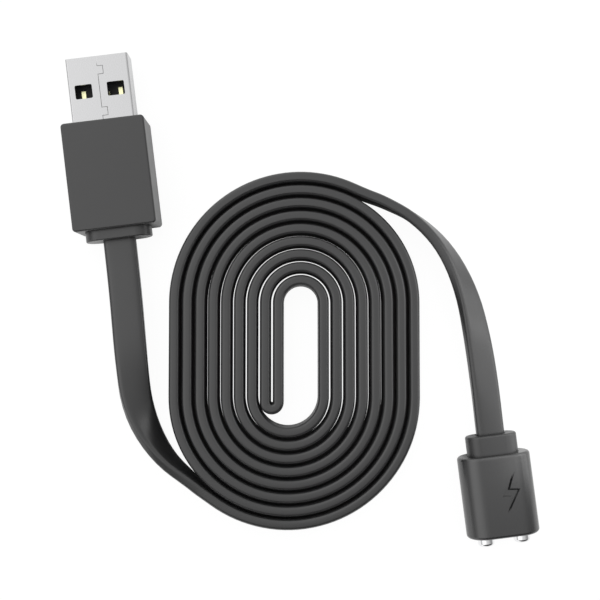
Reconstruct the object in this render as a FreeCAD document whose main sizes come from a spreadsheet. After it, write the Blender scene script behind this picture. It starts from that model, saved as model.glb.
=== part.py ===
import FreeCAD, Part
import math
import os
import Sketcher

# Magnetic charging cable, in millimetres.
# The origin is on the table under the middle of the plug and the head, +Z is up
# and +Y is the way that the plug goes into its socket.

doc = FreeCAD.newDocument("charging_cable")
Vector = FreeCAD.Vector

# Driving dimensions

SIZES = [
    ("span_across", "81.25", "outer side of the hood to outer side of the head"),
    ("span_along", "102.57", "mouth of the plug to tips of the studs"),
    ("fit_gap", "0.05", "room on each side between pieces that go into each other"),
    ("cord_width", "5.3", "flat cord"),
    ("cord_thickness", "2.05", "flat cord"),
    ("cord_corner", "0.35", "radius of the cord's four edges"),
    ("plug_lead_width", "6.1", "flat cord where it leaves the plug"),
    ("head_lead_width", "5.4", "flat cord where it leaves the head"),
    ("coil_pitch", "2.5", "from one strand to the next"),
    ("coil_strands", "9", "strands across the top of the coil"),
    ("coil_first_radius", "4.35", "middle of the innermost strand"),
    ("coil_straight", "18.05", "between the centres of the coil's two ends"),
    ("coil_turned", "7.1", "degrees that the coil is turned from the plug"),
    ("coil_x", "0.52", "centre of the coil's upper end"),
    ("coil_y", "-0.535", "centre of the coil's upper end"),
    ("fold_drop", "1.1", "centre of the innermost fold below the lower centre"),
    ("head_lead_angle", "24", "degrees past the top where the head's lead leaves"),
    ("plug_lead_angle", "35.5", "degrees past the bottom where the plug's lead leaves"),
    ("plug_lead_flat", "17", "length of the plug's lead that lies flat"),
    ("plug_lead_twist", "39", "length in which the plug's lead turns on edge"),
    ("head_lead_flat", "1", "length of the head's lead that lies flat"),
    ("head_lead_twist", "58", "length in which the head's lead turns on edge"),
    ("shell_width", "12", "plug shell, outside"),
    ("shell_height", "4.5", "plug shell, outside"),
    ("shell_wall", "0.3", "sheet of the shell"),
    ("shell_corner", "0.4", "outer bend radius of the sheet"),
    ("shell_reach", "12.7", "shell outside the hood"),
    ("shell_seat", "6", "shell inside the hood"),
    ("window_across", "3.3", "latch window"),
    ("window_along", "2.7", "latch window"),
    ("window_corner", "0.3", "latch window"),
    ("window_spacing", "6.2", "between the middles of the two windows"),
    ("window_start", "5.27", "from the mouth"),
    ("seam_width", "0.08", "slit where the folded sheet meets"),
    ("seam_tab_across", "1.05", "dovetail of the seam"),
    ("seam_tab_along", "1.6", "dovetail of the seam"),
    ("seam_tab_first", "1.95", "from the mouth"),
    ("seam_tab_second", "10", "from the mouth"),
    ("tongue_inset", "0.8", "from the mouth"),
    ("tongue_thickness", "1.84", "plate of the tongue"),
    ("tongue_block_length", "5", "thick back part of the tongue"),
    ("tongue_short", "2.2", "from the tongue's back end to the shell's"),
    ("contact_width", "0.8", "contact bar"),
    ("contact_thickness", "0.3", "contact bar"),
    ("contact_sunk", "0.15", "depth of the bar in the tongue"),
    ("contact_outer_start", "5.9", "from the mouth"),
    ("contact_inner_start", "6.5", "from the mouth"),
    ("contact_outer_spacing", "7.2", "between the outer two bars"),
    ("contact_inner_spacing", "2.1", "between the inner two bars"),
    ("contact_tail", "1.7", "bar behind the tongue, where the wire is soldered"),
    ("mould_length", "10", "inner mould behind the shell"),
    ("hood_width", "15.92", "plug hood"),
    ("hood_height", "8", "plug hood"),
    ("hood_length", "20.8", "plug hood"),
    ("hood_corner", "0.7", "upright edges of the hood"),
    ("hood_edge", "0.35", "rims of the hood's wide faces"),
    ("collar_width", "12.8", "strain relief of the plug"),
    ("collar_height", "5.6", "strain relief of the plug"),
    ("collar_reach", "1.95", "collar outside the hood"),
    ("collar_edge", "0.25", "rim of the collar"),
    ("flange_extra", "0.5", "flange of a strain relief past its neck, each side"),
    ("flange_length", "1.6", "flange of a strain relief"),
    ("wire_radius", "0.45", "insulated core"),
    ("wire_spacing", "1.9", "between the two cores in the cord"),
    ("wire_straight", "1.3", "core that lies straight at each end"),
    ("head_width", "13.9", "head body"),
    ("head_height", "7.6", "head body"),
    ("head_length", "15.5", "head body"),
    ("head_wall", "1.2", "head body"),
    ("head_edge", "0.6", "rims of the head's two ends"),
    ("bolt_width", "3.1", "engraved bolt"),
    ("bolt_length", "7.25", "engraved bolt"),
    ("bolt_depth", "0.5", "engraved bolt"),
    ("bolt_start", "3.55", "from the neck's end of the head body"),
    ("bolt_aside", "1.57", "middle of the bolt to the right of the head's middle"),
    ("neck_width", "9.8", "strain relief of the head"),
    ("neck_height", "5", "strain relief of the head"),
    ("neck_reach", "3.75", "neck outside the head"),
    ("neck_edge", "0.4", "rim of the neck"),
    ("carrier_thickness", "2.6", "plate that holds the studs"),
    ("stud_radius", "1.55", "magnetic stud"),
    ("stud_reach", "1.85", "stud outside the head"),
    ("stud_spacing", "6.9", "between the two studs"),
    ("stud_edge", "0.6", "rim of a stud's tip"),
    ("stud_flange_radius", "2.1", "shoulder that keeps the stud in"),
    ("stud_flange_length", "0.8", "shoulder that keeps the stud in"),
    ("stud_tail", "0.6", "stud behind its shoulder"),
    ("tab_width", "2", "solder tab behind a stud"),
    ("tab_thickness", "0.3", "solder tab"),
    ("tab_leg", "1.8", "bent leg of the solder tab"),
]

sheet = doc.addObject("Spreadsheet::Sheet", "sizes")
for row, (alias, value, note) in enumerate(SIZES, start=1):
    sheet.set("A%d" % row, alias)
    sheet.set("B%d" % row, value)
    sheet.set("C%d" % row, note)
    sheet.setAlias("B%d" % row, alias)
doc.recompute()


def size(alias):
    """Number in the sheet's cell."""
    return float(sheet.get(alias))


# Places that several pieces share, as formulas of the sheet

PLUG_X = "(sizes.hood_width - sizes.span_across) / 2"
PLUG_Y = "sizes.span_along / 2"
PLUG_Z = "sizes.hood_height / 2"
HEAD_X = "(sizes.span_across - sizes.head_width) / 2"
HEAD_Y = "sizes.neck_reach + sizes.head_length + sizes.stud_reach - sizes.span_along / 2"
HEAD_Z = "sizes.head_height / 2"
SHELL_LENGTH = "(sizes.shell_reach + sizes.shell_seat)"
MOULD_END = "(sizes.shell_reach + sizes.shell_seat + sizes.mould_length)"
COLLAR_END = "(sizes.shell_reach + sizes.hood_length + sizes.collar_reach)"
SHELL_FLOOR = "(sizes.shell_wall - sizes.shell_height / 2)"
TONGUE_END = "(sizes.shell_reach + sizes.shell_seat - sizes.tongue_short)"
TONGUE_BLOCK = "(%s - sizes.tongue_block_length)" % TONGUE_END
TONGUE_TOP = "(sizes.shell_wall - sizes.shell_height / 2 + sizes.tongue_thickness)"
CONTACT_LOW = "(%s - sizes.contact_sunk)" % TONGUE_TOP
CONTACT_HIGH = "(%s - sizes.contact_sunk + sizes.contact_thickness)" % TONGUE_TOP
CONTACT_END = "(%s + sizes.contact_tail)" % TONGUE_END
CARRIER_BACK = "(sizes.neck_reach + sizes.head_length - sizes.carrier_thickness)"
TAB_FACE = "(%s - sizes.stud_tail)" % CARRIER_BACK
NECK_END = "(sizes.neck_reach + sizes.head_wall + sizes.flange_length)"


# Helpers for bodies, sketches and features

def new_body(label, x, y, z):
    """Body with its own place, which follows three formulas of the sheet."""
    body = doc.addObject("PartDesign::Body", label)
    body.Label = label
    body.setExpression("Placement.Base.x", x)
    body.setExpression("Placement.Base.y", y)
    body.setExpression("Placement.Base.z", z)
    return body


def plug_body(label):
    """Body measured back from the middle of the plug's mouth."""
    return new_body(label, PLUG_X, PLUG_Y, PLUG_Z)


def head_body_at(label):
    """Body measured from the end of the head's neck towards the studs."""
    return new_body(label, HEAD_X, HEAD_Y, HEAD_Z)


def new_sketch(body, role, offset="0"):
    """Sketch on one of the body's own planes, moved along its normal."""
    sketch = body.newObject("Sketcher::SketchObject", body.Label + "_sketch")
    plane = next(part for part in body.Origin.OriginFeatures if part.Role == role)
    sketch.AttachmentSupport = [(plane, "")]
    sketch.MapMode = "FlatFace"
    sketch.setExpression("AttachmentOffset.Base.z", offset)
    return sketch


def section_sketch(body, start="0"):
    """Sketch across the part's length, a distance back from its start."""
    return new_sketch(body, "XZ_Plane", start)


def bind(sketch, constraint, formula):
    """Add a dimension and let it follow a formula of the sheet."""
    number = sketch.addConstraint(constraint)
    sketch.setExpression("Constraints[%d]" % number, formula)


def rectangle(sketch, left, right, low, high):
    """Rectangle between four formulas, in the sketch's own axes."""
    corners = [Vector(-1, -1, 0), Vector(1, -1, 0), Vector(1, 1, 0), Vector(-1, 1, 0)]
    sides = []
    for start, end in zip(corners, corners[1:] + corners[:1]):
        sides.append(sketch.addGeometry(Part.LineSegment(start, end), False))
    for side, follower in zip(sides, sides[1:] + sides[:1]):
        sketch.addConstraint(Sketcher.Constraint("Coincident", side, 2, follower, 1))
    for side, kind in zip(sides, ["Horizontal", "Vertical", "Horizontal", "Vertical"]):
        sketch.addConstraint(Sketcher.Constraint(kind, side))
    bind(sketch, Sketcher.Constraint("DistanceX", -1, 1, sides[0], 1, -1.0), left)
    bind(sketch, Sketcher.Constraint("DistanceX", -1, 1, sides[0], 2, 1.0), right)
    bind(sketch, Sketcher.Constraint("DistanceY", -1, 1, sides[0], 1, -1.0), low)
    bind(sketch, Sketcher.Constraint("DistanceY", -1, 1, sides[2], 1, 1.0), high)


def middle_rectangle(sketch, width, height):
    """Rectangle about the sketch's middle."""
    rectangle(sketch, "-(%s) / 2" % width, "(%s) / 2" % width,
              "-(%s) / 2" % height, "(%s) / 2" % height)


def stadium(sketch, width, height):
    """Two straight sides joined by half circles, about the sketch's middle."""
    half_circles = []
    for side in (-1, 1):
        arc = Part.Circle(Vector(3 * side, 0, 0), Vector(0, 0, 1), 1)
        start = math.pi / 2 if side < 0 else -math.pi / 2
        half_circles.append(sketch.addGeometry(Part.ArcOfCircle(arc, start, start + math.pi), False))
    left, right = half_circles
    upper = sketch.addGeometry(Part.LineSegment(Vector(3, 1, 0), Vector(-3, 1, 0)), False)
    lower = sketch.addGeometry(Part.LineSegment(Vector(-3, -1, 0), Vector(3, -1, 0)), False)
    for first, first_end, second, second_end in ((right, 2, upper, 1), (upper, 2, left, 1),
                                                 (left, 2, lower, 1), (lower, 2, right, 1)):
        sketch.addConstraint(Sketcher.Constraint("Tangent", first, first_end, second, second_end))
    sketch.addConstraint(Sketcher.Constraint("Symmetric", left, 3, right, 3, -1, 1))
    sketch.addConstraint(Sketcher.Constraint("Horizontal", upper))
    sketch.addConstraint(Sketcher.Constraint("Equal", left, right))
    bind(sketch, Sketcher.Constraint("Radius", left, 1.0), "(%s) / 2" % height)
    bind(sketch, Sketcher.Constraint("DistanceX", left, 3, right, 3, 6.0),
         "(%s) - (%s)" % (width, height))


def circle(sketch, x, radius):
    """Circle on the sketch's horizontal axis."""
    ring = sketch.addGeometry(Part.Circle(Vector(1, 0, 0), Vector(0, 0, 1), 1), False)
    sketch.addConstraint(Sketcher.Constraint("PointOnObject", ring, 3, -1))
    bind(sketch, Sketcher.Constraint("DistanceX", -1, 1, ring, 3, 1.0), x)
    bind(sketch, Sketcher.Constraint("Radius", ring, 1.0), radius)


def loop(sketch, corners):
    """Closed outline of straight sides."""
    sides = []
    for start, end in zip(corners, corners[1:] + corners[:1]):
        sides.append(sketch.addGeometry(Part.LineSegment(start, end), False))
    for side, follower in zip(sides, sides[1:] + sides[:1]):
        sketch.addConstraint(Sketcher.Constraint("Coincident", side, 2, follower, 1))


def pad(body, sketch, length):
    """Solid from the sketch along its normal."""
    feature = body.newObject("PartDesign::Pad", body.Label + "_pad")
    feature.Profile = sketch
    feature.setExpression("Length", length)
    doc.recompute()
    return feature


def pocket(body, sketch, length):
    """Cut from the sketch along its normal."""
    feature = body.newObject("PartDesign::Pocket", body.Label + "_pocket")
    feature.Profile = sketch
    feature.Reversed = True
    feature.setExpression("Length", length)
    doc.recompute()
    return feature


def pocket_through(body, sketch, both_ways):
    """Cut right through along the sketch's normal, or both ways from it."""
    feature = body.newObject("PartDesign::Pocket", body.Label + "_pocket")
    feature.Profile = sketch
    feature.Type = "ThroughAll"
    feature.Reversed = True
    feature.Midplane = both_ways
    doc.recompute()
    return feature


def round_edges(body, chosen, radius):
    """Fillet the edges of the body's last feature that a test chooses."""
    last = body.Tip
    names = []
    for number, edge in enumerate(last.Shape.Edges, start=1):
        if chosen(edge):
            names.append("Edge%d" % number)
    feature = body.newObject("PartDesign::Fillet", body.Label + "_fillet")
    feature.Base = (last, names)
    feature.setExpression("Radius", radius)
    doc.recompute()
    return feature


def along(edge, axis):
    """True for a straight edge along one of the body's axes."""
    if not isinstance(edge.Curve, Part.Line):
        return False
    return abs(getattr(edge.Curve.Direction, axis)) > 0.999


def at_length(edge, distance):
    """True for an edge that lies across the part, a distance back from its start."""
    box = edge.BoundBox
    return abs(box.YMin + distance) < 1e-4 and abs(box.YMax + distance) < 1e-4


# Plug: shell, tongue and contacts

def seam_path():
    """Corners of the seam from the mouth to the back, with its two dovetails."""
    step = size("seam_tab_across")
    length = size("shell_reach") + size("shell_seat")
    corners = [Vector(0, 0, 0)]
    for start in (size("seam_tab_first"), size("seam_tab_second")):
        end = start + size("seam_tab_along")
        corners += [Vector(0, -start, 0), Vector(step, -start, 0)]
        corners += [Vector(step, -end, 0), Vector(0, -end, 0)]
    corners.append(Vector(0, -length, 0))
    return corners


def beside(path, distance):
    """The same square-cornered path, moved sideways by a distance."""
    moved = []
    steps = [(end - start).normalize() for start, end in zip(path, path[1:])]
    for number, corner in enumerate(path):
        before = steps[max(number - 1, 0)]
        after = steps[min(number, len(steps) - 1)]
        shift = Vector(-before.y, before.x, 0)
        if abs(before.dot(after)) < 0.5:
            shift = shift + Vector(-after.y, after.x, 0)
        moved.append(corner + shift * distance)
    return moved


def make_plug_shell():
    body = plug_body("plug_shell")
    outside = section_sketch(body)
    middle_rectangle(outside, "sizes.shell_width", "sizes.shell_height")
    pad(body, outside, SHELL_LENGTH)
    round_edges(body, lambda edge: along(edge, "y"), "sizes.shell_corner")
    inside = section_sketch(body)
    middle_rectangle(inside, "sizes.shell_width - 2 * sizes.shell_wall",
                     "sizes.shell_height - 2 * sizes.shell_wall")
    pocket_through(body, inside, False)
    corner = size("shell_width") / 2 - size("shell_wall")
    round_edges(body, lambda edge: along(edge, "y") and abs(abs(edge.BoundBox.XMin) - corner) < 1e-4
                and abs(edge.BoundBox.ZMin) < size("shell_height") / 2 - size("shell_wall") + 1e-4,
                "sizes.shell_corner - sizes.shell_wall")
    windows = new_sketch(body, "XY_Plane")
    for side in (-1, 1):
        middle = "%d * sizes.window_spacing / 2" % side
        rectangle(windows, middle + " - sizes.window_across / 2", middle + " + sizes.window_across / 2",
                  "-sizes.window_start - sizes.window_along", "-sizes.window_start")
    pocket_through(body, windows, True)
    reach = (size("window_spacing") + size("window_across")) / 2
    round_edges(body, lambda edge: along(edge, "z") and abs(edge.BoundBox.XMin) < reach + 1e-4,
                "sizes.window_corner")
    seam = new_sketch(body, "XY_Plane")
    half = size("seam_width") / 2
    path = seam_path()
    loop(seam, beside(path, half) + beside(path, -half)[::-1])
    pocket_through(body, seam, False)
    return body


def contact_pair(sketch, spacing, room):
    """Sections of two contact bars, with room around them."""
    for side in (-1, 1):
        middle = "%d * sizes.%s / 2" % (side, spacing)
        rectangle(sketch, "%s - sizes.contact_width / 2 - %s" % (middle, room),
                  "%s + sizes.contact_width / 2 + %s" % (middle, room),
                  CONTACT_LOW, "%s + %s" % (CONTACT_HIGH, room))


def make_plug_tongue():
    body = plug_body("plug_tongue")
    half = "sizes.shell_width / 2 - sizes.shell_wall - sizes.fit_gap"
    plate = section_sketch(body, "sizes.tongue_inset")
    rectangle(plate, "-(%s) + sizes.shell_corner" % half, "%s - sizes.shell_corner" % half,
              SHELL_FLOOR, TONGUE_TOP)
    pad(body, plate, "%s - sizes.tongue_inset" % TONGUE_END)
    block = section_sketch(body, TONGUE_BLOCK)
    rectangle(block, "-(%s) + sizes.shell_corner" % half, "%s - sizes.shell_corner" % half,
              SHELL_FLOOR, "sizes.shell_height / 2 - sizes.shell_wall - sizes.fit_gap")
    pad(body, block, "sizes.tongue_block_length")
    for pair in ("outer", "inner"):
        start = "sizes.contact_%s_start" % pair
        channels = section_sketch(body, "%s - sizes.fit_gap" % start)
        contact_pair(channels, "contact_%s_spacing" % pair, "sizes.fit_gap")
        pocket_through(body, channels, False)
    return body


def make_plug_contacts():
    contacts = []
    places = (("outer", -1), ("inner", -1), ("inner", 1), ("outer", 1))
    for number, (pair, side) in enumerate(places, start=1):
        body = plug_body("plug_contact_%d" % number)
        start = "sizes.contact_%s_start" % pair
        middle = "%d * sizes.contact_%s_spacing / 2" % (side, pair)
        bar = section_sketch(body, start)
        rectangle(bar, middle + " - sizes.contact_width / 2", middle + " + sizes.contact_width / 2",
                  CONTACT_LOW, CONTACT_HIGH)
        pad(body, bar, "%s - %s" % (CONTACT_END, start))
        contacts.append(body)
    return contacts


# Wires of the plug and the head

def wire_bend(sketch, start_x, start_length, end_x, end_length):
    """Straight run, slanted run and straight run joined by arcs, from one x to another."""
    straight = size("wire_straight")
    way = 1 if end_length > start_length else -1
    corners = [Vector(start_x, -start_length, 0),
               Vector(start_x, -start_length - way * straight, 0),
               Vector(end_x, -end_length + way * straight, 0),
               Vector(end_x, -end_length, 0)]
    slant = (corners[2] - corners[1]).normalize()
    turn = slant.getAngle(corners[1] - corners[0])
    cut = 0.45 * straight
    radius = cut / math.tan(turn / 2)
    reached = corners[0]
    for corner, before, after in ((corners[1], (corners[1] - corners[0]).normalize(), slant),
                                  (corners[2], slant, (corners[3] - corners[2]).normalize())):
        first = corner - before * cut
        last = corner + after * cut
        inward = (after - before).normalize()
        middle = corner + inward * (radius / math.cos(turn / 2) - radius)
        sketch.addGeometry(Part.LineSegment(reached, first), False)
        sketch.addGeometry(Part.Arc(first, middle, last), False)
        reached = last
    sketch.addGeometry(Part.LineSegment(reached, corners[3]), False)


def pipe(body, kind, path_level, ends, start, radius):
    """Round pipe along a wire's bend, added to the body or cut from it."""
    path = new_sketch(body, "XY_Plane", path_level)
    wire_bend(path, *ends)
    ring = section_sketch(body, start)
    hole = ring.addGeometry(Part.Circle(Vector(ends[0], 0, 0), Vector(0, 0, 1), 1), False)
    bind(ring, Sketcher.Constraint("Radius", hole, 1.0), radius)
    bind(ring, Sketcher.Constraint("DistanceY", -1, 1, hole, 3, 0.1), path_level)
    bind(ring, Sketcher.Constraint("DistanceX", -1, 1, hole, 3, ends[0]), "%.6f" % ends[0])
    doc.recompute()
    feature = body.newObject("PartDesign::" + kind, body.Label + "_pipe")
    feature.Profile = ring
    feature.Spine = path
    doc.recompute()
    return feature


def plug_wire_ends(side):
    """Start and end of a core in the plug: x and length of each."""
    shell_end = size("shell_reach") + size("shell_seat")
    soldered = shell_end - size("tongue_short") + 0.2 * size("contact_tail")
    return (side * size("contact_outer_spacing") / 2, soldered,
            side * size("wire_spacing") / 2, shell_end + size("mould_length"))


def head_wire_ends(side):
    """Start and end of a core in the head: x and length of each."""
    tab = size("neck_reach") + size("head_length") - size("carrier_thickness") - size("stud_tail")
    neck = size("neck_reach") + size("head_wall") + size("flange_length")
    return (side * size("wire_spacing") / 2, neck,
            side * size("stud_spacing") / 2, tab - 2 * size("tab_thickness"))


PLUG_WIRE_LEVEL = "%s + sizes.wire_radius" % CONTACT_HIGH
HEAD_WIRE_LEVEL = "sizes.wire_radius"
COLOURS = (("red", 1), ("black", -1))


def make_plug_wires():
    wires = []
    for colour, side in COLOURS:
        body = plug_body("plug_wire_" + colour)
        ends = plug_wire_ends(side)
        pipe(body, "AdditivePipe", PLUG_WIRE_LEVEL, ends, "%.6f" % ends[1], "sizes.wire_radius")
        wires.append(body)
    return wires


def make_head_wires():
    wires = []
    for colour, side in COLOURS:
        body = head_body_at("head_wire_" + colour)
        ends = head_wire_ends(side)
        pipe(body, "AdditivePipe", HEAD_WIRE_LEVEL, ends, NECK_END, "sizes.wire_radius")
        wires.append(body)
    return wires


# Plug: inner mould, hood and strain relief

def make_plug_inner_mould():
    body = plug_body("plug_inner_mould")
    block = section_sketch(body, SHELL_LENGTH)
    middle_rectangle(block, "sizes.shell_width", "sizes.shell_height")
    pad(body, block, "sizes.mould_length")
    for colour, side in COLOURS:
        ends = plug_wire_ends(side)
        pipe(body, "SubtractivePipe", PLUG_WIRE_LEVEL, ends, "%.6f" % ends[1],
             "sizes.wire_radius + sizes.fit_gap")
    return body


def make_plug_hood():
    body = plug_body("plug_hood")
    outside = section_sketch(body, "sizes.shell_reach")
    middle_rectangle(outside, "sizes.hood_width", "sizes.hood_height")
    pad(body, outside, "sizes.hood_length")
    round_edges(body, lambda edge: along(edge, "z"), "sizes.hood_corner")
    top = size("hood_height") / 2
    round_edges(body, lambda edge: abs(abs(edge.BoundBox.ZMin) - top) < 1e-4
                and abs(edge.BoundBox.ZMax - edge.BoundBox.ZMin) < 1e-4, "sizes.hood_edge")
    seat = section_sketch(body, "sizes.shell_reach")
    middle_rectangle(seat, "sizes.shell_width + 2 * sizes.fit_gap", "sizes.shell_height + 2 * sizes.fit_gap")
    pocket(body, seat, "sizes.shell_seat + sizes.mould_length")
    flange = section_sketch(body, MOULD_END)
    stadium(flange, "sizes.collar_width + 2 * sizes.flange_extra + 2 * sizes.fit_gap",
            "sizes.collar_height + 2 * sizes.flange_extra + 2 * sizes.fit_gap")
    pocket(body, flange, "sizes.flange_length")
    outlet = section_sketch(body, MOULD_END)
    stadium(outlet, "sizes.collar_width + 2 * sizes.fit_gap", "sizes.collar_height + 2 * sizes.fit_gap")
    pocket_through(body, outlet, False)
    return body


def cord_slot(body, start, length, width):
    """Opening for the flat cord through a strain relief."""
    slot = section_sketch(body, start)
    middle_rectangle(slot, "sizes.%s + 2 * sizes.fit_gap" % width,
                     "sizes.cord_thickness + 2 * sizes.fit_gap")
    pocket(body, slot, length)
    half = size("cord_thickness") / 2 + size("fit_gap")
    round_edges(body, lambda edge: along(edge, "y") and abs(abs(edge.BoundBox.ZMin) - half) < 1e-4
                and abs(edge.BoundBox.XMin) < size(width), "sizes.cord_corner")


def make_plug_strain_relief():
    body = plug_body("plug_strain_relief")
    collar = section_sketch(body, MOULD_END)
    stadium(collar, "sizes.collar_width", "sizes.collar_height")
    pad(body, collar, "%s - %s" % (COLLAR_END, MOULD_END))
    end = size("shell_reach") + size("hood_length") + size("collar_reach")
    round_edges(body, lambda edge: at_length(edge, end), "sizes.collar_edge")
    flange = section_sketch(body, MOULD_END)
    stadium(flange, "sizes.collar_width + 2 * sizes.flange_extra",
            "sizes.collar_height + 2 * sizes.flange_extra")
    pad(body, flange, "sizes.flange_length")
    cord_slot(body, MOULD_END, "%s - %s" % (COLLAR_END, MOULD_END), "plug_lead_width")
    return body


# Head: strain relief, body, carrier, studs and tabs

def make_head_strain_relief():
    body = head_body_at("head_strain_relief")
    neck = section_sketch(body)
    stadium(neck, "sizes.neck_width", "sizes.neck_height")
    pad(body, neck, NECK_END)
    round_edges(body, lambda edge: at_length(edge, 0), "sizes.neck_edge")
    flange = section_sketch(body, "sizes.neck_reach + sizes.head_wall")
    stadium(flange, "sizes.neck_width + 2 * sizes.flange_extra",
            "sizes.head_height - 2 * sizes.head_wall - 2 * sizes.fit_gap")
    pad(body, flange, "sizes.flange_length")
    cord_slot(body, "0", NECK_END, "head_lead_width")
    return body


# Corners of the bolt, as shares of its width from the left and of its length from its top

BOLT_CORNERS = [(0.78, 0), (0, 0.56), (0.52, 0.59), (0.2, 1), (1, 0.45), (0.38, 0.42)]

# Way in which the bolt's walls lean out, to the right and the neck
BOLT_LEAN = Vector(0.85, 0.7, 1)


def bolt_outline():
    """Corners of the engraved bolt on the head's upper face."""
    left = size("bolt_aside") - size("bolt_width") / 2
    top = size("neck_reach") + size("bolt_start")
    return [Vector(left + across * size("bolt_width"), -top - down * size("bolt_length"), 0)
            for across, down in BOLT_CORNERS]


def make_head_body():
    body = head_body_at("head_body")
    outside = section_sketch(body, "sizes.neck_reach")
    stadium(outside, "sizes.head_width", "sizes.head_height")
    pad(body, outside, "sizes.head_length")
    start = size("neck_reach")
    end = start + size("head_length")
    round_edges(body, lambda edge: at_length(edge, start) or at_length(edge, end), "sizes.head_edge")
    outlet = section_sketch(body, "sizes.neck_reach")
    stadium(outlet, "sizes.neck_width + 2 * sizes.fit_gap", "sizes.neck_height + 2 * sizes.fit_gap")
    pocket_through(body, outlet, False)
    cavity = section_sketch(body, "sizes.neck_reach + sizes.head_wall")
    stadium(cavity, "sizes.head_width - 2 * sizes.head_wall", "sizes.head_height - 2 * sizes.head_wall")
    pocket_through(body, cavity, False)
    bolt = new_sketch(body, "XY_Plane", "sizes.head_height / 2 + sizes.bolt_depth")
    loop(bolt, bolt_outline())
    engraved = pocket(body, bolt, "2 * sizes.bolt_depth")
    engraved.Reversed = False
    doc.recompute()
    lean = new_sketch(body, "XY_Plane", "sizes.head_height / 2 - sizes.bolt_depth + sizes.fit_gap")
    loop(lean, bolt_outline())
    leaning = pocket(body, lean, "2 * sizes.bolt_depth")
    leaning.Reversed = False
    leaning.UseCustomVector = True
    leaning.Direction = BOLT_LEAN
    doc.recompute()
    return body


def make_head_contact_carrier():
    body = head_body_at("head_contact_carrier")
    plate = section_sketch(body, CARRIER_BACK)
    stadium(plate, "sizes.head_width - 2 * sizes.head_wall - 2 * sizes.fit_gap",
            "sizes.head_height - 2 * sizes.head_wall - 2 * sizes.fit_gap")
    pad(body, plate, "sizes.carrier_thickness")
    for radius, deep in (("sizes.stud_radius", "sizes.carrier_thickness"),
                         ("sizes.stud_flange_radius", "sizes.stud_flange_length")):
        holes = section_sketch(body, CARRIER_BACK)
        for side in (-1, 1):
            circle(holes, "%d * sizes.stud_spacing / 2" % side, radius + " + sizes.fit_gap")
        pocket(body, holes, deep)
    return body


def make_head_studs():
    studs = []
    for name, side in (("left", -1), ("right", 1)):
        body = head_body_at("head_stud_" + name)
        middle = "%d * sizes.stud_spacing / 2" % side
        pin = section_sketch(body, TAB_FACE)
        circle(pin, middle, "sizes.stud_radius")
        pad(body, pin, "sizes.stud_tail + sizes.carrier_thickness + sizes.stud_reach")
        tip = size("neck_reach") + size("head_length") + size("stud_reach")
        round_edges(body, lambda edge: at_length(edge, tip), "sizes.stud_edge")
        shoulder = section_sketch(body, CARRIER_BACK)
        circle(shoulder, middle, "sizes.stud_flange_radius")
        pad(body, shoulder, "sizes.stud_flange_length")
        studs.append(body)
    return studs


def make_head_tabs():
    tabs = []
    for name, side in (("left", -1), ("right", 1)):
        body = head_body_at("head_tab_" + name)
        middle = "%d * sizes.stud_spacing / 2" % side
        left = middle + " - sizes.tab_width / 2"
        right = middle + " + sizes.tab_width / 2"
        face = section_sketch(body, "%s - sizes.tab_thickness" % TAB_FACE)
        rectangle(face, left, right, "-sizes.stud_radius", "sizes.stud_radius")
        pad(body, face, "sizes.tab_thickness")
        leg = section_sketch(body, "%s - sizes.tab_thickness - sizes.tab_leg" % TAB_FACE)
        rectangle(leg, left, right, "-sizes.tab_thickness", "0")
        pad(body, leg, "sizes.tab_leg + sizes.tab_thickness")
        tabs.append(body)
    return tabs


# Cord: the coil's outer shape

def coil_frame():
    """Place of the coil: its upper centre on the table, turned with the straights."""
    turn = FreeCAD.Rotation(Vector(0, 0, 1), -size("coil_turned"))
    return FreeCAD.Placement(Vector(size("coil_x"), size("coil_y"), 0), turn)


def coil_centres():
    """Centres of the upper and lower half circles, one pitch apart sideways."""
    return Vector(0, 0, 0), Vector(-size("coil_pitch"), -size("coil_straight"), 0)


def coil_radius(strand):
    """Radius at the middle of a strand, counted from the inside at the upper end."""
    return size("coil_first_radius") + size("coil_pitch") * (strand - 1)


def on_circle(centre, radius, degrees):
    """Point at an angle from straight up, clockwise."""
    angle = math.radians(degrees)
    return centre + Vector(math.sin(angle), math.cos(angle), 0) * radius


def arc_between(centre, radius, first, last):
    """Arc of a circle between two angles from straight up, clockwise."""
    points = [on_circle(centre, radius, angle) for angle in (first, (first + last) / 2, last)]
    return Part.Arc(*points)


def outer_outline():
    """Outer edge of the coil, with a step at each place where a lead leaves."""
    upper, lower = coil_centres()
    half = size("cord_thickness") / 2
    strands = int(size("coil_strands"))
    outer = coil_radius(strands) + half
    inner = coil_radius(strands - 1) + half
    head_angle = size("head_lead_angle")
    plug_angle = 180 + size("plug_lead_angle")
    return [
        arc_between(upper, outer, -90, head_angle),
        Part.LineSegment(on_circle(upper, outer, head_angle), on_circle(upper, inner, head_angle)),
        arc_between(upper, inner, head_angle, 90),
        Part.LineSegment(on_circle(upper, inner, 90), on_circle(lower, outer, 90)),
        arc_between(lower, outer, 90, plug_angle),
        Part.LineSegment(on_circle(lower, outer, plug_angle), on_circle(lower, inner, plug_angle)),
        arc_between(lower, inner, plug_angle, 270),
        Part.LineSegment(on_circle(lower, inner, 270), on_circle(upper, outer, 270)),
    ]


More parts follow.
